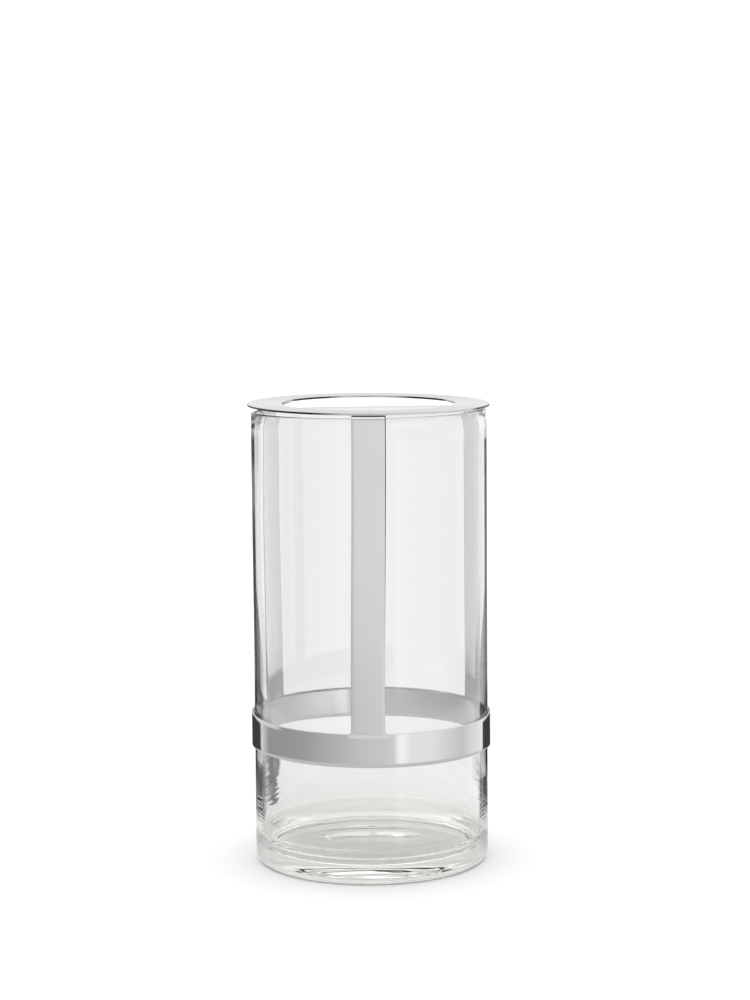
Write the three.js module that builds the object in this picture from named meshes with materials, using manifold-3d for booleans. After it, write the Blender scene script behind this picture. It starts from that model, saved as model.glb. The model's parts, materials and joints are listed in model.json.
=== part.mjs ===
// A candle lantern in two bodies: a blown glass cylinder with a thick base, and a steel cage
// that hangs over it and lifts off. The cage is a flat ring over the mouth of the glass, three
// flat straps down the outside, and a band round the lower part.
// Millimetres, +Z up. The origin is on the ground at the middle of the foot; the front is -Y.

import * as THREE from "three";
import { mergeVertices } from "three/addons/utils/BufferGeometryUtils.js";
import Module from "manifold-3d";

// Glass cylinder
const GLASS_HEIGHT = 278; // ground to the top of the rim
const GLASS_RADIUS = 71.3; // outside of the wall
const WALL = 2; // the rim is rounded to half of this
const BASE_THICKNESS = 10; // ground to the floor that the candle stands on
const FLOOR_CORNER = 12; // radius between the floor and the wall, inside
const HEEL = 4.5; // radius between the wall and the foot, outside
const FOOT_WIDTH = 14; // flat ring that touches the ground, inwards from the heel
const PUNT_DEPTH = 0.8; // hollow under the base, inside the foot ring

// Steel strip that the cage is made of
const STRIP_THICKNESS = 1.2;
const STRAP_WIDTH = 20;
const BAND_HEIGHT = 20;
const BEND_RADIUS = 1.6; // inside of the bend at the top of a strap
const TAB_REACH = 12; // bent-in end of a strap, inwards from the strap's outer face
const STRAP_COUNT = 3;

// Cage
const GLASS_CLEARANCE = 1; // all round, between the glass and the cage
const BAND_BOTTOM = 71.7; // ground to the lower edge of the band
const RING_WIDTH = 21; // flat ring, from its outer edge to its hole
const RING_THICKNESS = 1.2;
const JOINT_GAP = 0.3; // between welded pieces, and between the tabs and the rim

// Facets
const TURN_STEPS = 72; // round a full circle
const ARC_STEPS = 6; // in a quarter circle

// Sizes that follow from the ones above
const CAGE_INNER = GLASS_RADIUS + GLASS_CLEARANCE;
const CAGE_OUTER = CAGE_INNER + STRIP_THICKNESS;
const RIM_RADIUS = WALL / 2;
const BAND_TOP = BAND_BOTTOM + BAND_HEIGHT;
const TAB_BOTTOM = GLASS_HEIGHT + JOINT_GAP;
const TAB_TOP = TAB_BOTTOM + STRIP_THICKNESS;
const RING_BOTTOM = TAB_TOP + JOINT_GAP;
const RING_TOP = RING_BOTTOM + RING_THICKNESS;

const clearGlass = () =>
  new THREE.MeshStandardMaterial({
    color: 0xe6ece8,
    roughness: 0.03,
    metalness: 0,
    transparent: true,
    opacity: 0.35,
  });
const satinSteel = () =>
  new THREE.MeshStandardMaterial({
    color: 0xc4c4c2,
    roughness: 0.32,
    metalness: 1,
  });

// Points of an arc about (r, z), from one angle to another in degrees.
function arc(r, z, radius, fromDegrees, toDegrees) {
  const turn = toDegrees - fromDegrees;
  const steps = Math.ceil((ARC_STEPS * Math.abs(turn)) / 90);
  return Array.from({ length: steps + 1 }, (_, i) => {
    const angle = THREE.MathUtils.degToRad(fromDegrees + (turn * i) / steps);
    return new THREE.Vector2(
      r + radius * Math.cos(angle),
      z + radius * Math.sin(angle),
    );
  });
}

// A closed profile of (radius, height) points, turned about +Z. It runs anticlockwise.
function turned(profile) {
  const geometry = new THREE.LatheGeometry(profile, TURN_STEPS);
  return geometry.rotateX(Math.PI / 2);
}

// The wall, its rounded rim, the floor with its corner, the foot ring and the punt.
function glassProfile() {
  const inner = GLASS_RADIUS - WALL;
  const footOuter = GLASS_RADIUS - HEEL;
  const footInner = footOuter - FOOT_WIDTH;
  const puntRadius = (footInner ** 2 + PUNT_DEPTH ** 2) / (2 * PUNT_DEPTH);
  const puntAngle = THREE.MathUtils.radToDeg(
    Math.asin(footInner / puntRadius),
  );
  return [
    ...arc(0, PUNT_DEPTH - puntRadius, puntRadius, 90, 90 - puntAngle),
    ...arc(footOuter, HEEL, HEEL, -90, 0),
    ...arc(inner + RIM_RADIUS, GLASS_HEIGHT - RIM_RADIUS, RIM_RADIUS, 0, 180),
    ...arc(
      inner - FLOOR_CORNER,
      BASE_THICKNESS + FLOOR_CORNER,
      FLOOR_CORNER,
      0,
      -90,
    ),
    new THREE.Vector2(0, BASE_THICKNESS),
  ];
}

// A flat-sided hoop: a rectangle turned about +Z.
function hoopProfile(inner, outer, bottom, top) {
  return [
    new THREE.Vector2(inner, bottom),
    new THREE.Vector2(outer, bottom),
    new THREE.Vector2(outer, top),
    new THREE.Vector2(inner, top),
    new THREE.Vector2(inner, bottom),
  ];
}

// A strap seen from the side: up the outside of the glass, round the bend and in over the rim.
function strapProfile() {
  const bottom = BAND_TOP + JOINT_GAP;
  const bendR = CAGE_INNER - BEND_RADIUS;
  const bendZ = TAB_BOTTOM - BEND_RADIUS;
  const tabEnd = CAGE_OUTER - TAB_REACH;
  const outside = BEND_RADIUS + STRIP_THICKNESS;
  return [
    new THREE.Vector2(CAGE_INNER, bottom),
    new THREE.Vector2(CAGE_OUTER, bottom),
    ...arc(bendR, bendZ, outside, 0, 90),
    new THREE.Vector2(tabEnd, TAB_TOP),
    new THREE.Vector2(tabEnd, TAB_BOTTOM),
    ...arc(bendR, bendZ, BEND_RADIUS, 90, 0),
    new THREE.Vector2(CAGE_INNER, bottom),
  ];
}

const wasm = await Module();
wasm.setup();

function solid(geometry) {
  const bare = geometry.clone();
  bare.deleteAttribute("normal");
  bare.deleteAttribute("uv");
  const merged = mergeVertices(bare, 1e-4);
  return new wasm.Manifold(
    new wasm.Mesh({
      numProp: 3,
      vertProperties: merged.attributes.position.array,
      triVerts: new Uint32Array(merged.index.array),
    }),
  );
}

function geometryOf(manifold) {
  const mesh = manifold.getMesh();
  const geometry = new THREE.BufferGeometry();
  geometry.setAttribute(
    "position",
    new THREE.BufferAttribute(mesh.vertProperties, 3),
  );
  geometry.setIndex(new THREE.BufferAttribute(mesh.triVerts, 1));
  geometry.computeVertexNormals();
  return geometry;
}

// The turned strap section, kept only where the strip runs: a slice as wide as the strap,
// on the front side of the cage.
function strapGeometry() {
  const slice = new THREE.BoxGeometry(STRAP_WIDTH, CAGE_OUTER, RING_TOP);
  slice.translate(0, -CAGE_OUTER / 2 - STRAP_WIDTH / 2, RING_TOP / 2);
  return geometryOf(solid(turned(strapProfile())).intersect(solid(slice)));
}

function part(name, geometry, material) {
  const mesh = new THREE.Mesh(geometry, material);
  mesh.name = name;
  return mesh;
}

const cage = new THREE.Group();
cage.add(
  part(
    "top_ring",
    turned(
      hoopProfile(CAGE_OUTER - RING_WIDTH, CAGE_OUTER, RING_BOTTOM, RING_TOP),
    ),
    satinSteel(),
  ),
  part(
    "band",
    turned(hoopProfile(CAGE_INNER, CAGE_OUTER, BAND_BOTTOM, BAND_TOP)),
    satinSteel(),
  ),
);
["strap_front", "strap_right", "strap_left"].forEach((name, i) => {
  const strap = part(name, strapGeometry(), satinSteel());
  strap.rotation.z = (2 * Math.PI * i) / STRAP_COUNT;
  cage.add(strap);
});

const lantern = new THREE.Group();
lantern.add(part("glass_cylinder", turned(glassProfile()), clearGlass()), cage);

export default lantern;
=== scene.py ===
"""Candle lantern: a blown glass cylinder and the lift-off steel cage that hangs over it.

Metres, +Z up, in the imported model's own frame. The front strap faces -Y. The sections follow
the lantern as it is put together: the glass, the band, the straps, the ring, then the studio.
"""

import json

import bpy
import numpy as np
from mathutils import Matrix, Vector


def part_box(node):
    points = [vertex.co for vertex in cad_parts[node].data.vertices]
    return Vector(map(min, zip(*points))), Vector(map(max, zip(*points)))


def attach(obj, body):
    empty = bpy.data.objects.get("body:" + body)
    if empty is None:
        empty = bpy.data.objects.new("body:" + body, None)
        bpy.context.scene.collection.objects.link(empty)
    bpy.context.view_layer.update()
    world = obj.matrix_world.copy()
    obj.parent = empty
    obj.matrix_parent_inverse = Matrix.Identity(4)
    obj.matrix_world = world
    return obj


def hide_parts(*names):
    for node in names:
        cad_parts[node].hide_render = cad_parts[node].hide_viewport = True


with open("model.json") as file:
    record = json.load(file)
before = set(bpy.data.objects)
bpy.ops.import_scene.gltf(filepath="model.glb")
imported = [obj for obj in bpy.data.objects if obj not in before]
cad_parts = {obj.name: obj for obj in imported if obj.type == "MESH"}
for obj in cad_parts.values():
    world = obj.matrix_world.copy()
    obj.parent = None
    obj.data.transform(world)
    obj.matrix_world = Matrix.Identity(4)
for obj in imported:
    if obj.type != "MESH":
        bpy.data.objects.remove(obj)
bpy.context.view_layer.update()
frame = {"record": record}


# ---- Camera -------------------------------------------------------------------------------
# A long lens a metre and a half in front of the lantern, a little above its rim and looking
# slightly down, turned and rolled by a fraction of a degree as a hand-levelled tripod is.

MM = 0.001
LENS, SENSOR = 92.2, 36.0
CAMERA_PLACE = Vector((12.2 * MM, -1548.5 * MM, 414.2 * MM))
PITCH, PAN, ROLL = 0.1238, -0.0056, 0.0085

camera = bpy.data.objects.new("camera", bpy.data.cameras.new("camera"))
bpy.context.scene.collection.objects.link(camera)
camera.data.lens = LENS
camera.data.sensor_width = SENSOR
camera.matrix_world = (
    Matrix.Translation(CAMERA_PLACE)
    @ Matrix.Rotation(-PAN, 4, "Z")
    @ Matrix.Rotation(np.pi / 2 - PITCH, 4, "X")
    @ Matrix.Rotation(-ROLL, 4, "Z")
)
bpy.context.scene.camera = camera


# ---- Glass cylinder -----------------------------------------------------------------------
# Clear soda glass, mouth-blown into a straight mould: a wall of uneven thickness, a heavy base
# with a pushed-up hollow below and swirls in its floor, and a rim melted round in the fire.
# It stands on its foot ring, and the cage hangs on its rim.

glass_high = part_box("glass_cylinder")[1]
GLASS_RADIUS = glass_high.x
GLASS_TOP = glass_high.z
mounts = {m["name"]: m["pos_m"] for m in frame["record"]["mounts"]}
FLOOR_TOP = mounts["candle_floor"][2]
WALL = 2.0 * MM
FLOOR_CORNER = 12.0 * MM
HEEL = 4.5 * MM
FOOT_WIDTH = 14.0 * MM
PUNT_DEPTH = 0.8 * MM
TURN_STEPS = 256
COMB_TOP = 66.0 * MM
# (x, y, radius in mm) of the small dents over seeds of gas in the floor
SEEDS = (
    (-31, 12, 1.2), (-29, 7, 1.0), (-27, 2, 0.9), (-16, -22, 1.0), (-15, -31, 0.8),
    (-16, -40, 1.1), (-15.5, -49, 0.9), (16, 9, 1.8),
)


def arc(centre, radius, start, end, steps):
    """Points (r, z) on a circle about centre, from one angle to another, in degrees."""
    angle = np.radians(np.linspace(start, end, steps))
    return np.array(centre) + radius * np.stack([np.cos(angle), np.sin(angle)], -1)


def straight(start, end, spacing):
    """Points on a line, no further apart than spacing, without its two ends."""
    start, end = np.array(start), np.array(end)
    steps = max(2, int(np.ceil(np.linalg.norm(end - start) / spacing)) + 1)
    return start + (end - start) * np.linspace(0, 1, steps)[1:-1, None]


def glass_section():
    """The glass in section, from under the middle, round the foot and over the rim, to the floor.

    The punt is a cosine hill, the heel, the rim and the floor corner are arcs, and the rest is
    straight. Points stand close together where the glass ripples.
    """
    inner = GLASS_RADIUS - WALL
    foot_out = GLASS_RADIUS - HEEL
    foot_in = foot_out - FOOT_WIDTH
    hill = np.linspace(0, 1, 26)[1:]
    punt = np.stack([hill * foot_in, PUNT_DEPTH * (1 + np.cos(np.pi * hill)) / 2], -1)
    rim_middle = (GLASS_RADIUS - WALL / 2, GLASS_TOP - WALL / 2)
    corner_middle = (inner - FLOOR_CORNER, FLOOR_TOP + FLOOR_CORNER)
    return np.concatenate([
        punt,
        straight((foot_in, 0), (foot_out, 0), 3.5 * MM),
        arc((foot_out, HEEL), HEEL, -90, 0, 12),
        straight((GLASS_RADIUS, HEEL), (GLASS_RADIUS, COMB_TOP), 0.5 * MM),
        straight((GLASS_RADIUS, COMB_TOP), (GLASS_RADIUS, rim_middle[1]), 4.5 * MM),
        arc(rim_middle, WALL / 2, 0, 180, 15),
        straight((inner, rim_middle[1]), (inner, 62 * MM), 4.5 * MM),
        straight((inner, 62 * MM), (inner, corner_middle[1]), 1.6 * MM),
        arc(corner_middle, FLOOR_CORNER, 0, -90, 18),
        straight((corner_middle[0], FLOOR_TOP), (0, FLOOR_TOP), 1.05 * MM),
    ])


def waves(rng, turn, rise, count, turns, rises):
    """Soft unevenness: a mean of sines, each with its own whole number of waves in a turn,
    its own number of waves per metre of height and its own phase. It runs from -1 to 1."""
    total = 0
    for _ in range(count):
        around = rng.integers(turns[0], turns[1] + 1)
        along = rng.uniform(*rises) * rng.choice([-1, 1])
        total = total + np.sin(around * turn + 2 * np.pi * along * rise + rng.uniform(0, 6.28))
    return total / np.sqrt(count) / 1.4


def between(value, low, high):
    """0 below low, 1 above high, and a smooth step between them."""
    share = np.clip((value - low) / (high - low), 0, 1)
    return share * share * (3 - 2 * share)


def glass_unevenness(radius, height, turn, side, rng):
    """How far each point of the glass stands out along its normal, in metres.

    Outside: a slight belly, fuller to the right; combed ripples low down, plain to see on the
    heel and at the two sides and hardly there between them; long waves above; upright cords.
    Inside: a wedge that thickens the wall to one side, a wall that thickens towards the base and
    again under the rim, and cords of its own. Floor: a spiral of low rings, a broad unevenness
    and a dent over each seed of gas.
    """
    outside, inside, floor = side
    low_part = between(height, 1 * MM, 5 * MM) * (1 - between(height, 40 * MM, COMB_TOP))
    patches = 0.35 + 0.65 * between(waves(rng, turn, height, 5, (2, 9), (10, 45)), -0.5, 0.6)
    phase = 1.6 * waves(rng, turn, height, 4, (1, 5), (5, 25))
    comb = np.sin(2 * np.pi * height / (2.9 * MM) + phase) + 0.6 * np.sin(
        2 * np.pi * height / (1.8 * MM) - 1.7 * phase
    )
    long_ones = waves(rng, turn, height, 6, (1, 4), (8, 22)) * (1 - between(height, 60 * MM, 130 * MM))
    cords = waves(rng, turn, height, 8, (7, 31), (0.4, 2.0))
    heel = 1 - between(height, 5 * MM, 9 * MM)
    aside = np.abs(np.sin(turn))
    low_marks = 0.030 * between(aside, 0.70, 0.95) * (1 - between(height, 26 * MM, 38 * MM))
    marks = 0.001 + 0.03 * heel + (1 - heel) * (0.045 * between(aside, 0.935, 0.985) + low_marks)
    belly = 0.3 + (0.1 + 0.2 * np.sin(turn)) * between(height, 30 * MM, 110 * MM)
    belly = belly * MM * (1 - between(height, 264 * MM, 275 * MM))
    outer = belly + marks * MM * comb * low_part * patches
    outer = outer + 0.03 * MM * long_ones + 0.010 * MM * cords

    wedge = 0.15 * MM * np.cos(turn - 0.3) - 0.32 * MM * np.sin(turn)
    wedge = wedge + 0.06 * MM * waves(rng, turn, height, 5, (1, 3), (0.5, 3))
    low = 1.2 * MM * (1 - between(height, 60 * MM, 110 * MM)) * (0.75 - 0.25 * np.sin(turn))
    high = 0.45 * MM * between(height, 200 * MM, 255 * MM)
    high = high * (1 - between(height, 272 * MM, 276.5 * MM))
    upper_wall = between(height, 50 * MM, 85 * MM) * (1 - between(height, 262 * MM, 275 * MM))
    inner = (wedge - 0.4 * MM) * upper_wall
    inner = inner - belly + low + high * (0.6 - 0.4 * np.sin(turn))
    inner = inner + 0.012 * MM * waves(rng, turn, height, 8, (6, 27), (0.4, 2.5))

    middle = between(radius, 1 * MM, 12 * MM)
    rings = np.sin(2 * np.pi * radius / (11 * MM) + turn + 0.8 * np.sin(2 * turn + 1.1))
    swirl = 0.007 * MM * rings * middle * (1 - between(radius, 46 * MM, 58 * MM))
    broad = 0.03 * MM * waves(rng, turn, radius, 5, (1, 3), (8, 24)) * middle
    dents = 0
    for x, y, size in SEEDS:
        gap = np.hypot(radius * np.sin(turn) - x * MM, -radius * np.cos(turn) - y * MM)
        dents = dents - 0.35 * MM * size * np.exp(-((gap / (size * MM)) ** 2))
    return outside * outer + inside * inner + floor * (swirl + broad + dents)


def rim_drop(turn):
    """How far the rim lies below its highest point at the front: a low wave once and twice round."""
    return MM * (2.65 * np.cos(turn) + 0.65 * np.sin(turn) - 0.725 * np.cos(2 * turn) - 1.925)


def turned_surface(section, offsets, turn):
    """Points (section step, turn step, xyz): the section goes round +Z, moved along its normal
    by offsets. The normal is the section's tangent turned a quarter to the right. The upper wall
    is let down by the drop of the rim."""
    along = np.gradient(section, axis=0)
    along /= np.linalg.norm(along, axis=1, keepdims=True)
    normal = np.stack([along[:, 1], -along[:, 0]], -1)
    radius = section[:, 0, None] + offsets * normal[:, 0, None]
    height = section[:, 1, None] + offsets * normal[:, 1, None]
    height = height + np.minimum(rim_drop(turn), 0) * between(height, 150 * MM, GLASS_TOP - WALL)
    return np.stack([radius * np.sin(turn), -radius * np.cos(turn), height], -1)


def grid_faces(rows, columns, rows_close=False):
    """Quads between neighbouring points of a grid, numbered row by row. Its columns close."""
    row, column = np.meshgrid(
        np.arange(rows if rows_close else rows - 1),
        np.arange(columns),
        indexing="ij",
    )
    below, right = (row + 1) % rows, (column + 1) % columns
    here, beneath = row * columns, below * columns
    corners = [here + column, here + right, beneath + right, beneath + column]
    return np.stack(corners, -1).reshape(-1, 4)


def new_piece(name, points, faces, material, body):
    """A smooth-shaded mesh object at the origin, riding on a body of the frame."""
    mesh = bpy.data.meshes.new(name)
    mesh.from_pydata(np.asarray(points).reshape(-1, 3), [], faces)
    mesh.shade_smooth()
    mesh.materials.append(material)
    piece = bpy.data.objects.new(name, mesh)
    bpy.context.scene.collection.objects.link(piece)
    if body:
        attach(piece, body)
    return piece


class Wire:
    """A shader socket that can be used in Python arithmetic: each operator adds a Math node."""

    def __init__(self, tree, socket=None):
        self.tree, self.socket = tree, socket

    def node(self, kind, settings=None, inputs=None, output=0):
        """Any node: its settings first, a ramp's stops among them, then its values or links."""
        made = self.tree.nodes.new(kind)
        for name, value in (settings or {}).items():
            if name == "stops":
                ramp = made.color_ramp.elements
                ramp.remove(ramp[1])
                for i, (place, grey) in enumerate(value):
                    stop = ramp[0] if i == 0 else ramp.new(place)
                    stop.position = place
                    stop.color = (grey, grey, grey, 1)
            else:
                setattr(made, name, value)
        for name, value in (inputs or {}).items():
            if isinstance(value, Wire):
                self.tree.links.new(value.socket, made.inputs[name])
            else:
                made.inputs[name].default_value = value
        return Wire(self.tree, made.outputs[output])

    def maths(self, operation, *values):
        return self.node("ShaderNodeMath", {"operation": operation}, dict(enumerate(values)))

    def __add__(self, other):
        return self.maths("ADD", self, other)

    def __sub__(self, other):
        return self.maths("SUBTRACT", self, other)

    def __rsub__(self, other):
        return self.maths("SUBTRACT", other, self)

    def __mul__(self, other):
        return self.maths("MULTIPLY", self, other)

    def __truediv__(self, other):
        return self.maths("DIVIDE", self, other)

    __radd__, __rmul__ = __add__, __mul__

    def between(self, low, high, start=0.0, end=1.0):
        """Runs smoothly from start to end as this value goes from low to high."""
        settings = {"interpolation_type": "SMOOTHSTEP"}
        values = {"Value": self, "From Min": low, "From Max": high, "To Min": start, "To Max": end}
        return self.node("ShaderNodeMapRange", settings, values)

    def mix(self, first, second):
        """One colour to another as this value goes from 0 to 1."""
        settings = {"data_type": "RGBA", "clamp_factor": True}
        return self.node("ShaderNodeMix", settings, {0: self, 6: first, 7: second}, output=2)

    def feeds(self, shader, socket):
        self.tree.links.new(self.socket, shader.inputs[socket])


def new_finish(name, fixed):
    """A material of one Principled shader; fixed has what is the same all over the surface."""
    material = bpy.data.materials.new(name)
    material.use_nodes = True
    shader = material.node_tree.nodes["Principled BSDF"]
    for socket, value in fixed.items():
        shader.inputs[socket].default_value = value
    return material, shader, Wire(material.node_tree)


def clear_glass():
    """Clear glass with a breath of green where it is thick: low down and round the rim. The heel is
    darker and greener still: partly the green of the thickest glass, partly a painted shade."""
    fixed = {"Transmission Weight": 1.0, "IOR": 1.5, "Roughness": 0.0}
    material, shader, wire = new_finish("clear_glass", fixed)
    place = wire.node("ShaderNodeTexCoord", output="Object")
    height = wire.node("ShaderNodeSeparateXYZ", inputs={"Vector": place}, output="Z")
    cloud = wire.node(
        "ShaderNodeTexNoise", inputs={"Vector": place, "Scale": 40.0, "Detail": 2.0}
    )
    thick = height.between(0.012, 0.040, 1.0, 0.0) + height.between(GLASS_TOP - 0.005, GLASS_TOP)
    tint = thick.mix((0.985, 0.988, 0.985, 1), (0.94, 0.948, 0.912, 1))
    # Painted shade: the heel is tinted darker than its thickness alone would make it.
    heel = height.between(0.001, 0.003) * height.between(0.006, 0.012, 1.0, 0.0)
    heel.mix(tint, (0.85, 0.86, 0.825, 1)).feeds(shader, "Base Color")
    (cloud * 0.012).feeds(shader, "Roughness")
    return material


section = glass_section()
turn = np.linspace(0, 2 * np.pi, TURN_STEPS, endpoint=False)[None, :]
radii, heights = section[:, :1], section[:, 1:]
rising = np.gradient(section[:, 1])[:, None]
on_outside = (radii > GLASS_RADIUS - 3 * MM) * (rising > 0) * between(heights, 0.6 * MM, 4 * MM)
on_outside = on_outside * (1 - between(heights, GLASS_TOP - 6 * MM, GLASS_TOP - 2 * MM))
on_floor = (heights > FLOOR_TOP - 0.1 * MM) * (radii < GLASS_RADIUS - WALL - 6 * MM)
on_floor = on_floor * (1 - between(radii, 54 * MM, 61 * MM))
on_inside = (rising < 0) * (radii > GLASS_RADIUS - WALL - 0.5 * MM) * (heights > 20 * MM)
offsets = glass_unevenness(
    radii, heights, turn, (on_outside, on_inside, on_floor), np.random.default_rng(7)
)
skin = turned_surface(section, offsets, turn)
last = len(section) - 1
points = np.concatenate([skin.reshape(-1, 3), [[0, 0, PUNT_DEPTH], [0, 0, FLOOR_TOP]]])
under_middle, floor_middle = len(points) - 2, len(points) - 1
column = np.arange(TURN_STEPS)
after = (column + 1) % TURN_STEPS
fans = np.concatenate([
    np.stack([column * 0 + under_middle, after, column], -1),
    np.stack([column * 0 + floor_middle, last * TURN_STEPS + column, last * TURN_STEPS + after], -1),
])
faces = grid_faces(len(section), TURN_STEPS).tolist() + fans.tolist()
glass = new_piece("glass_vessel", points, faces, clear_glass(), "glass")
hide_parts("glass_cylinder")


# ---- Band ---------------------------------------------------------------------------------
# A hoop of flat stainless strip round the lower wall, rolled, butt-welded and dressed flush.
# Its brushed grain runs round the hoop, and its sawn edges are broken by a file.

band_low, band_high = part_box("band")
CAGE_OUTER = band_high.x
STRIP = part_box("top_ring")[1].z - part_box("top_ring")[0].z
CAGE_INNER = CAGE_OUTER - STRIP
EDGE_ROUND = 0.22 * MM
CAGE_STEPS = 240
ASKEW = 0.006


def strip_section(width, thick, rounding, across=9):
    """The strip in section as (across, out) points: a rectangle about the middle of its inner
    face, its four corners rounded, run anticlockwise. across points lie on each broad face."""
    half = width / 2 - rounding
    flat = np.linspace(-half, half, across)[1:-1]

    def broad_face(out):
        return np.stack([flat, 0 * flat + out], -1)

    return np.concatenate([
        arc((-half, rounding), rounding, 180, 270, 5),
        broad_face(0),
        arc((half, rounding), rounding, 270, 360, 5),
        arc((half, thick - rounding), rounding, 0, 90, 5),
        broad_face(thick)[::-1],
        arc((-half, thick - rounding), rounding, 90, 180, 5),
    ])


def add_grain_map(piece, along, across):
    """A UV map in decimetres: along the strip and across it, from one value a vertex. A face
    whose corners straddle the join of a hoop keeps its far corners a full turn on."""
    mesh = piece.data
    corner = np.zeros(len(mesh.loops), int)
    mesh.loops.foreach_get("vertex_index", corner)
    start = np.zeros(len(mesh.polygons), int)
    mesh.polygons.foreach_get("loop_start", start)
    face = np.repeat(np.arange(len(start)), np.diff(np.append(start, len(corner))))
    u, v = along.ravel()[corner], across.ravel()[corner]
    highest = np.maximum.reduceat(u, start)[face]
    length = along.max() - along.min()
    u = np.where(highest - u > length / 2, u + length, u)
    layer = mesh.uv_layers.new(name="grain")
    layer.data.foreach_set("uv", (np.stack([u, v], -1) * 10).astype(np.float32).ravel())


def satin_steel(name, turned_grain=0.25, tone=0.64, dull=0.085):
    """Satin stainless steel. Long scratches follow the grain map; they vary the tone, the
    roughness and a very low bump, and a broad cloud keeps the sheet from looking flat."""
    fixed = {"Metallic": 1.0, "Anisotropic": 0.6, "Anisotropic Rotation": turned_grain}
    material, shader, wire = new_finish(name, fixed)
    grain = wire.node("ShaderNodeUVMap", {"uv_map": "grain"})
    stretched = wire.node(
        "ShaderNodeMapping", inputs={"Vector": grain, "Scale": (14.0, 900.0, 1.0)}
    )
    fine = {"Vector": stretched, "Scale": 1.0, "Detail": 6.0, "Roughness": 0.6}
    scratch = wire.node("ShaderNodeTexNoise", inputs=fine)
    place = wire.node("ShaderNodeTexCoord", output="Object")
    cloud = wire.node("ShaderNodeTexNoise", inputs={"Vector": place, "Scale": 22.0, "Detail": 3.0})
    light = scratch * 0.06 + cloud * 0.04 + (tone - 0.05)
    grey = wire.node("ShaderNodeCombineColor", inputs={"Red": light, "Green": light, "Blue": light})
    grey.feeds(shader, "Base Color")
    (scratch * 0.06 + cloud * 0.04 + (dull - 0.05)).feeds(shader, "Roughness")
    bump = {"Height": scratch, "Strength": 0.02, "Distance": 0.00001}
    wire.node("ShaderNodeBump", inputs=bump).feeds(shader, "Normal")
    return material


def hoop(section_points, inner, middle, upright, wobble):
    """A strip section carried round +Z. upright stands it as a band, its width along Z;
    otherwise it lies flat, its width inwards. wobble is how far it strays, in metres."""
    turn = np.linspace(0, 2 * np.pi, CAGE_STEPS, endpoint=False)[None, :]
    across, out = section_points[:, :1], section_points[:, 1:]
    radius, height = (inner + out, middle + across) if upright else (middle + across, inner + out)
    stray = wobble * (np.sin(2 * turn + 0.7) + 0.6 * np.sin(3 * turn + 2.1) + 0.4 * np.sin(5 * turn))
    radius = radius + (stray if upright else 0)
    height = height - ASKEW * radius * np.sin(turn) + (0 * turn if upright else stray)
    return np.stack([radius * np.sin(turn), -radius * np.cos(turn), height + 0 * turn], -1), turn


def hoop_piece(name, points, turn, section_points, radius, material, upright):
    """The hoop as a piece on the cage, with its grain map; the map's join is at the back left.
    Laid flat, the section is mirrored, so its faces run the other way round to point outwards."""
    faces = grid_faces(*points.shape[:2], rows_close=True)
    if upright:
        faces = faces[:, ::-1]
    piece = new_piece(name, points, faces, material, "cage")
    along = (turn - 2 * np.pi / 3) % (2 * np.pi) * radius + 0 * points[..., 0]
    add_grain_map(piece, along, section_points[:, :1] + section_points[:, 1:] + 0 * points[..., 0])
    return piece


band_width = band_high.z - band_low.z
band_section = strip_section(band_width, STRIP, EDGE_ROUND)
band_points, turn = hoop(
    band_section, CAGE_INNER, (band_low.z + band_high.z) / 2, upright=True, wobble=0.05 * MM
)
steel_round = satin_steel("steel_brushed_round")
band = hoop_piece("band_strip", band_points, turn, band_section, CAGE_OUTER, steel_round, upright=True)
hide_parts("band")


# ---- Straps -------------------------------------------------------------------------------
# Three uprights of the same strip, dished to the glass. Each is welded to the top edge of the
# band with a small fillet on either side, and its top end is bent in under the ring as a tab
# that is spot-welded there and rests on the rim. One long edge is rolled, and it carries a
# painted shade for the gap between strap and glass; the side faces carry a painted shade too.

strap_low, strap_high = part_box("strap_front")
STRAP_WIDTH = strap_high.x - strap_low.x
TAB_REACH = strap_high.y + CAGE_OUTER
BEND = 0.9 * MM
FILLET = 1.4 * MM
WELD_STEP = 0.02 * MM
ROLLED_EDGE = 1.0 * MM
BEND_STEPS = 12


def strap_path(tab_slope):
    """Points (r, z) on the strap's inner face, and the way its outer face lies from each: up
    from the band, round the bend, then along the tab, which climbs inwards at tab_slope. The
    tab's inner end always meets the ring, so a steeper tab starts lower down."""
    run_in = CAGE_INNER - BEND + BEND * np.sin(tab_slope) - (CAGE_OUTER - TAB_REACH)
    end = np.array([CAGE_OUTER - TAB_REACH, strap_high.z - STRIP])
    bend_height = end[1] - run_in * np.tan(tab_slope) - BEND * np.cos(tab_slope)
    turned = np.pi / 2 - tab_slope
    bend = arc((CAGE_INNER - BEND, bend_height), BEND, 0, np.degrees(turned), BEND_STEPS)
    foot = np.array([CAGE_INNER, band_high.z])
    fillet_top = foot + (0, FILLET)
    path = [
        foot[None], straight(foot, fillet_top, 0.2 * MM), fillet_top[None],
        straight(fillet_top, bend[0], 4 * MM), bend, straight(bend[-1], end, 2 * MM), end[None],
    ]
    angles = [np.zeros(len(stretch)) for stretch in path[:4]]
    angles += [np.linspace(0, turned, BEND_STEPS)] + [np.full(len(p), turned) for p in path[5:]]
    angle = np.concatenate(angles)
    return np.concatenate(path), np.stack([np.cos(angle), np.sin(angle)], -1)


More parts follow.
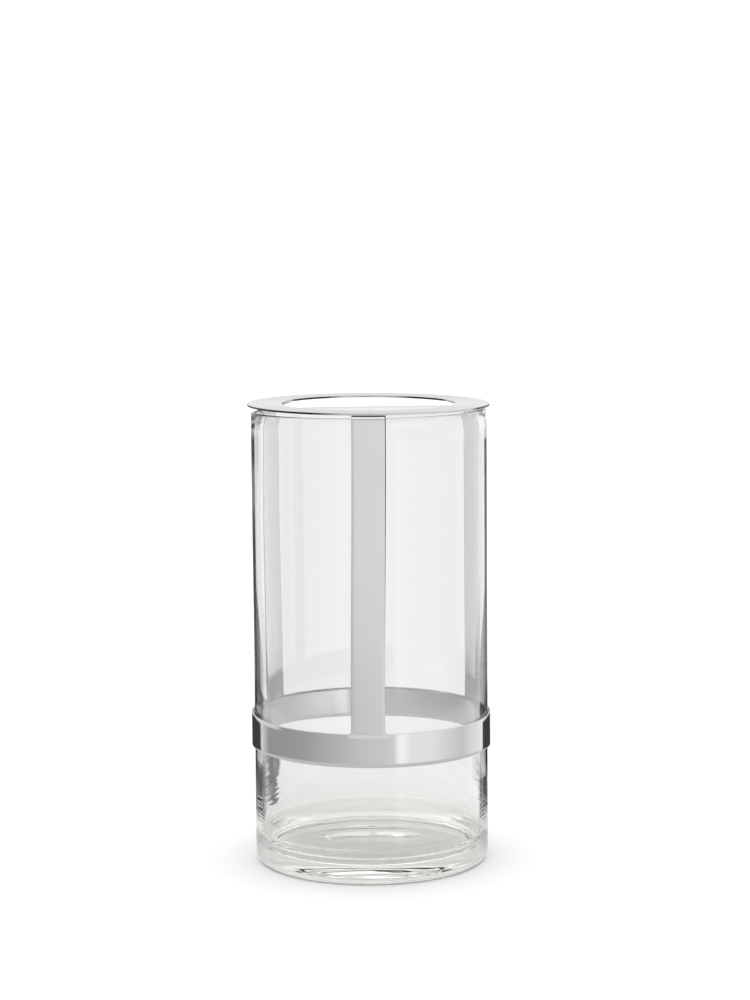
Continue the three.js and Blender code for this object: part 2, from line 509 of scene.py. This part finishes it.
def strap_points(aim, lean, tab_slope):
    """A strip section carried up the strap path, cut from a turned surface so that its sides
    stay parallel: y is minus the root of r squared less x squared. The outer corner on the right
    widens upwards into the rolled edge, and the foot flares into its weld. The strap is then
    turned by aim, and a little more or less down to its foot, which is lean further round."""
    path, out_way = strap_path(tab_slope)
    section_points = strip_section(STRAP_WIDTH, STRIP, EDGE_ROUND)
    rise = np.clip((path[:, 1:] - band_high.z) / FILLET, 0, 1)
    flare = 1 + (FILLET / (STRAP_WIDTH / 2)) * (1 - np.sqrt(1 - (1 - rise) ** 2))
    half, across, out = STRAP_WIDTH / 2, section_points[None, :, 0], section_points[None, :, 1]
    rolled = between(path[:, 1:], band_high.z, strap_high.z - 20 * MM)
    wide = np.maximum(ROLLED_EDGE * rolled, EDGE_ROUND)
    deep = np.maximum(wide / 2, EDGE_ROUND)
    cosine = (across - half) / EDGE_ROUND + 1
    sine = (out - STRIP) / EDGE_ROUND + 1
    corner = (cosine > -1e-6) & (sine > -1e-6)
    across = np.where(corner, half - wide * (1 - cosine), across) * flare
    out = np.where(corner, STRIP - deep * (1 - sine), out) * (1 + WELD_STEP / STRIP)
    radius = path[:, :1] + out * out_way[:, :1]
    height = path[:, 1:] + out * out_way[:, 1:]
    depth = np.sqrt(radius**2 - across**2)
    way = aim + lean * (1 - between(path[:, 1:], band_high.z, strap_high.z))
    x = across * np.cos(way) + depth * np.sin(way)
    y = across * np.sin(way) - depth * np.cos(way)
    step = np.linalg.norm(np.diff(path, axis=0, prepend=path[:1]), axis=1)
    along = np.cumsum(step)[:, None] + 0 * across
    return np.stack([x, y, height - ASKEW * x], -1), along, across + section_points[None, :, 1]


def painted_gap_shade_steel():
    """Steel painted near black, with fine ridges across the edge: a painted shade for the gap between
    the strap and the glass.
    """
    material, shader, wire = new_finish("steel_cut_edge", {"Metallic": 1.0})
    grain = wire.node("ShaderNodeUVMap", {"uv_map": "grain"})
    stretched = wire.node("ShaderNodeMapping", inputs={"Vector": grain, "Scale": (300.0, 20.0, 1.0)})
    ridge = wire.node("ShaderNodeTexNoise", inputs={"Vector": stretched, "Scale": 1.0, "Detail": 3.0})
    light = ridge * 0.06 + 0.05
    grey = wire.node("ShaderNodeCombineColor", inputs={"Red": light, "Green": light, "Blue": light})
    grey.feeds(shader, "Base Color")
    (ridge * 0.15 + 0.25).feeds(shader, "Roughness")
    return material


painted_gap_shade = painted_gap_shade_steel()
# Painted shade: the strap's side faces get a darker tone than its broad faces.
painted_shade_side_steel = satin_steel("steel_sheared_side", turned_grain=0.0, tone=0.30, dull=0.2)
steel_upright = satin_steel("steel_brushed_upright", turned_grain=0.0, tone=0.67, dull=0.15)
# (name, turn from the front, how much further the foot stands, slope of the tab)
STRAPS = (
    ("strap_front", np.radians(0.43), np.radians(-1.4), 0.0),
    ("strap_right", np.radians(116.4), np.radians(-0.4), np.radians(14)),
    ("strap_left", np.radians(242.2), np.radians(-2.4), np.radians(20)),
)
for name, aim, lean, tab_slope in STRAPS:
    points, along, across = strap_points(aim, lean, tab_slope)
    rows, columns = points.shape[:2]
    top_end = (rows - 1) * columns + np.arange(columns)
    ends = [np.arange(columns).tolist(), top_end[::-1].tolist()]
    faces = grid_faces(rows, columns)[:, ::-1].tolist() + ends
    strap = new_piece(name + "_strip", points, faces, steel_upright, "cage")
    add_grain_map(strap, along + aim, across)
    # Painted shade: the rolled corner gets near-black steel for the gap between strap and glass.
    strap.data.materials.append(painted_gap_shade)
    strap.data.materials.append(painted_shade_side_steel)
    # The rolled corner starts half-way round the section, with a side face just before it. The
    # corner takes the painted gap shade, and both side faces take the painted side shade.
    rolled_from = columns // 2
    column_of = np.arange(len(faces)) % columns
    on_roll = (column_of >= rolled_from) & (column_of < rolled_from + 3)
    on_side = (column_of == rolled_from - 1) | (column_of == columns - 1)
    kind = on_roll * 1 + on_side * 2
    kind[(rows - 1) * columns:] = 0
    strap.data.polygons.foreach_set("material_index", kind.astype(np.int32))
    # The brushed highlight lies round the lantern's axis, so the texture space is centred there.
    strap.data.use_auto_texspace = False
    strap.data.texspace_location = (0, 0, strap_high.z / 2)
    strap.data.texspace_size = (CAGE_OUTER, CAGE_OUTER, strap_high.z / 2)
    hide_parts(name)


# ---- Top ring -----------------------------------------------------------------------------
# A flat washer cut from sheet, which lies over the mouth of the glass on the three tabs. Its
# faces are brushed to a fine satin, and its cut edges carry a painted reflection: painted dark
# in some stretches and painted bright in others.

ring_low, ring_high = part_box("top_ring")
RING_WIDTH = 21.0 * MM
RING_EDGE_ROUND = 0.06 * MM
ring_section = strip_section(RING_WIDTH, STRIP, RING_EDGE_ROUND, across=15)
ring_points, turn = hoop(
    ring_section, ring_low.z, ring_high.x - RING_WIDTH / 2, upright=False, wobble=0.03 * MM
)


def flat_only(wire, place):
    """The place with its height taken off."""
    level_only = (1.0, 1.0, 0.0)
    return wire.node("ShaderNodeVectorMath", {"operation": "MULTIPLY"}, {0: place, 1: level_only})


def painted_reflection_edge_steel():
    """The ring's cut edges with a painted reflection: painted dark at the left and at the far right,
    and in two stretches of the hole, and painted bright between them."""
    material, shader, wire = new_finish("steel_filed_edge", {"Metallic": 1.0})
    place = wire.node("ShaderNodeTexCoord", output="Object")
    x = wire.node("ShaderNodeSeparateXYZ", inputs={"Vector": place}, output="X")
    flat = {0: flat_only(wire, place)}
    reach = wire.node("ShaderNodeVectorMath", {"operation": "LENGTH"}, flat, output="Value")
    outside = reach.between(0.060, 0.064)
    aside = wire.maths("ABSOLUTE", x)
    # Painted reflection: dark and bright stretches are set by place round the ring.
    reflection_painted_outside = x.between(-0.034, -0.012) * x.between(0.060, 0.066, 1.0, 0.0)
    reflection_painted_in_hole = 1 - aside.between(0.014, 0.028) * aside.between(0.045, 0.049, 1.0, 0.0)
    bright = reflection_painted_outside * outside + reflection_painted_in_hole * (1 - outside)
    file_marks = wire.node("ShaderNodeTexNoise", inputs={"Vector": place, "Scale": 260.0, "Detail": 3.0})
    light = bright * 0.60 + file_marks * 0.05 + 0.01
    grey = wire.node("ShaderNodeCombineColor", inputs={"Red": light, "Green": light, "Blue": light})
    grey.feeds(shader, "Base Color")
    (file_marks * 0.12 + 0.22).feeds(shader, "Roughness")
    return material


steel_flat = satin_steel("steel_brushed_flat", turned_grain=0.25, tone=0.66, dull=0.22)
ring = hoop_piece("ring_plate", ring_points, turn, ring_section, ring_high.x, steel_flat, upright=False)
ring.data.materials.append(painted_reflection_edge_steel())
normals = np.zeros(len(ring.data.polygons) * 3)
ring.data.polygons.foreach_get("normal", normals)
is_edge = (np.abs(normals.reshape(-1, 3)[:, 2]) < 0.5).astype(np.int32)
ring.data.polygons.foreach_set("material_index", is_edge)
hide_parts("top_ring")


# ---- Studio -------------------------------------------------------------------------------
# A white paper sweep under soft light from all round, with dark cards that give the clear
# glass its outline and pale cards that fill the steel. The cards are the sky's own pattern,
# listed one by one. They show in the glass and the steel, and the camera itself sees plain white.

SWEEP_RADIUS, TABLE_RADIUS = 40.0, 0.155


def paper(name, tone, painted_glow=0.0):
    """Matt white paper with a faint fibre. gathered sets a painted glow, emitted light on the part
    that the heavy base stands on and just round it, standing for what the base sends down of the
    light it takes in from all round."""
    material, shader, wire = new_finish(name, {"Roughness": 1.0, "Specular IOR Level": 0.0})
    place = wire.node("ShaderNodeTexCoord", output="Object")
    fibre = wire.node("ShaderNodeTexNoise", inputs={"Vector": place, "Scale": 300.0, "Detail": 2.0})
    light = fibre * 0.01 + (tone - 0.005)
    grey = wire.node("ShaderNodeCombineColor", inputs={"Red": light, "Green": light, "Blue": light})
    grey.feeds(shader, "Base Color")
    reach = wire.node("ShaderNodeVectorMath", {"operation": "LENGTH"}, {0: place}, output="Value")
    # Painted light: the paper glows round the foot of the glass.
    glow = reach.between(GLASS_RADIUS - 1 * MM, GLASS_RADIUS + 12 * MM, painted_glow, 0.0)
    glow = wire.node("ShaderNodeCombineColor", inputs={"Red": glow, "Green": glow, "Blue": glow})
    glow.feeds(shader, "Emission Color")
    shader.inputs["Emission Strength"].default_value = 1.0
    return material


def paper_disc(name, radius, height, material):
    """A flat disc: rings of points at doubling radii about a middle point, facing up."""
    steps = 96
    turn = np.linspace(0, 2 * np.pi, steps, endpoint=False)[None, :]
    reach = radius * 2.0 ** -np.arange(9, -1, -1)[:, None]
    rings = np.stack([reach * np.cos(turn), reach * np.sin(turn), height + 0 * reach * turn], -1)
    middle = np.array([[0, 0, height]])
    column = np.arange(steps)
    fan = np.stack([column, (column + 1) % steps, column * 0 + rings.shape[0] * steps], -1)
    faces = grid_faces(rings.shape[0], steps)[:, ::-1].tolist() + fan.tolist()
    disc = new_piece(name, np.concatenate([rings.reshape(-1, 3), middle]), faces, material, None)
    return disc


sweep = paper_disc("paper_sweep", SWEEP_RADIUS, -0.0002, paper("paper_white", 0.92))
sweep.visible_glossy = False
sweep.visible_transmission = False
table = paper_disc("paper_table", TABLE_RADIUS, -0.0001, paper("paper_near", 0.72, painted_glow=0.30))
table.visible_camera = False
table.visible_diffuse = False
table.visible_shadow = False

# (degrees from straight behind the lantern, clockwise from above; how bright)
PALE_CARDS = (
    (-180, 0.82), (-170, 0.78), (-156, 0.71), (-136, 0.62), (-114, 0.49), (-95, 0.465),
    (-72, 0.41), (-65, 0.385), (-58, 0.64), (-50, 0.92), (-16, 0.92), (-12, 0.87),
    (12, 0.91), (16, 1.00), (44, 1.05), (45, 1.24), (54, 1.11), (69, 1.03), (81, 0.84),
    (98, 0.96), (117, 1.15), (126, 1.18), (142, 1.18), (149, 1.40), (154, 1.36),
    (158, 0.95), (166, 0.87), (180, 0.82),
)
HIGH_CARDS = (
    (-180, 1.00), (-162, 1.00), (-152, 0.50), (-90, 0.40), (-76, 0.92), (-16, 0.95), (-12, 0.00),
    (12, 0.00), (16, 1.00), (50, 1.05), (54, 0.50), (154, 0.50), (162, 1.00), (180, 1.00),
)
DARK_CARD, UNDERFOOT = 0.056, 0.78
OVERHEAD, LIP, CEILING, BEHIND_CAMERA = 1.03, 0.72, 1.5, 0.55

world = bpy.data.worlds.new("studio")
bpy.context.scene.world = world
world.use_nodes = True
sky = Wire(world.node_tree)
way = sky.node("ShaderNodeTexCoord", output="Generated")
split = sky.node("ShaderNodeSeparateXYZ", inputs={"Vector": way})
x, y, z = (Wire(sky.tree, split.socket.node.outputs[i]) for i in range(3))
round_about = sky.maths("ARCTAN2", x, y) / (2 * np.pi) + 0.5
degrees = round_about * 360 - 180


def card_ring(cards):
    """How bright the pale cards are all the way round."""
    stops = [((angle + 180) / 360, bright / 2) for angle, bright in cards]
    return sky.node("ShaderNodeValToRGB", {"stops": stops}, {"Fac": round_about}) * 2.0


pale = card_ring(PALE_CARDS)

# The dark cards are wider low down, where they stand on the table, than higher up.
left_outer = z.between(-0.190, -0.150, -47.0, -30.0)
left_inner = z.between(-0.240, -0.214, -6.8, -12.4)
right_inner = z.between(-0.240, -0.206, 8.5, 13.5)
right_outer = z.between(-0.190, -0.150, 44.5, 28.0)
left = (degrees - left_outer).between(-0.4, 0.4) * (left_inner - degrees).between(-0.4, 0.4)
right = (degrees - right_inner).between(-0.4, 0.4) * (right_outer - degrees).between(-0.4, 0.4)
dark = (left + right) * z.between(-0.09, -0.06, 1.0, 0.0)
underfoot = z.between(-0.264, -0.252, 1.0, 0.0)
pale = sky.maths("MAXIMUM", pale, card_ring(HIGH_CARDS) * z.between(-0.216, -0.182))
cards = pale * (1 - dark) + dark * DARK_CARD
cards = cards * (1 - underfoot) + underfoot * UNDERFOOT
above = z.between(-0.01, 0.03)
top = z.between(0.13, 0.19, OVERHEAD, LIP) + z.between(0.36, 0.55, 0.0, CEILING - LIP)
front = sky.maths("ABSOLUTE", degrees).between(100, 140)
top = top * (1 - front * z.between(0.3, 0.5, 1.0 - BEHIND_CAMERA, 0.0))
level = cards * (1 - above) + above * top
seen = sky.node("ShaderNodeLightPath", output="Is Camera Ray")
level = level + seen * (1.05 - level)
background = world.node_tree.nodes["Background"]
grey = sky.node("ShaderNodeCombineColor", inputs={"Red": level, "Green": level, "Blue": level})
sky.tree.links.new(grey.socket, background.inputs["Color"])

bpy.context.scene.view_settings.view_transform = "Standard"
# Light that is caught in the heavy base turns many times before it comes out again.
paths = bpy.context.scene.cycles
paths.max_bounces, paths.glossy_bounces, paths.transmission_bounces = 20, 16, 20
